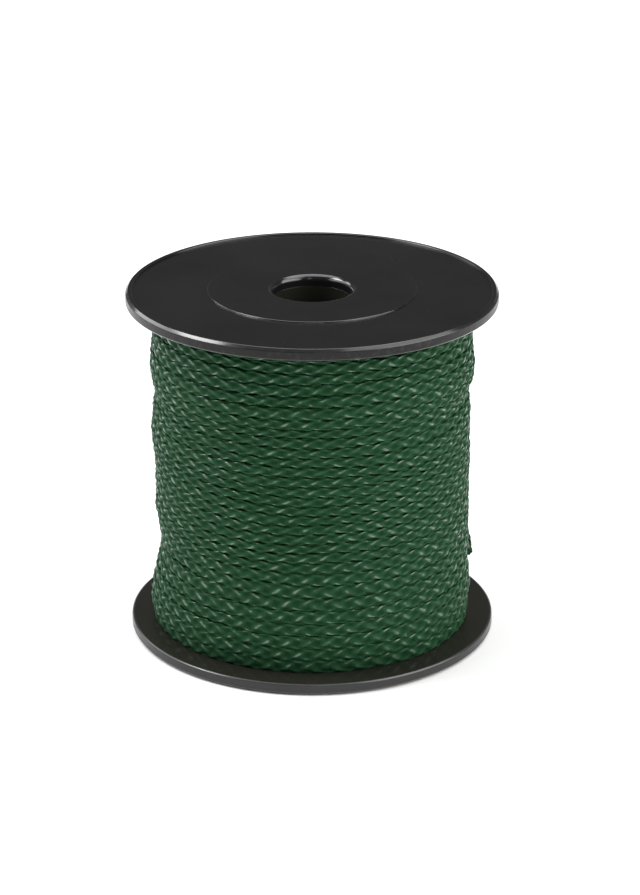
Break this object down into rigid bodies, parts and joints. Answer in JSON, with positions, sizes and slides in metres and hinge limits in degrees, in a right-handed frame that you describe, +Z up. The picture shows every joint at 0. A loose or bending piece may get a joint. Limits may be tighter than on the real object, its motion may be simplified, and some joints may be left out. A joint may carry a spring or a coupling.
{
  "type": "fishing line spool",
  "caption": "Round plastic spool with flat raised-rim flanges and a through bore, wound full with braided green line.",
  "frame": {"origin": "centre of the lower flange's rim, on the surface that the spool stands on", "axes": "+Z up along the bore; X and Y are any two directions across it"},
  "size_m": [0.076, 0.076, 0.0736],
  "materials": {
    "spool_plastic": "black injection-moulded plastic, satin faces with glossier edges",
    "braided_line": "dark green braided polyethylene line with a slight gloss on the strands"
  },
  "bodies": {
    "root": {"lower_flange": "spool_plastic", "upper_flange": "spool_plastic", "winding_barrel": "spool_plastic", "bore_sleeve": "spool_plastic", "line_inner_layers": "braided_line", "line_outer_turns": "braided_line", "line_start_knot": "braided_line"}
  },
  "joints": []
}
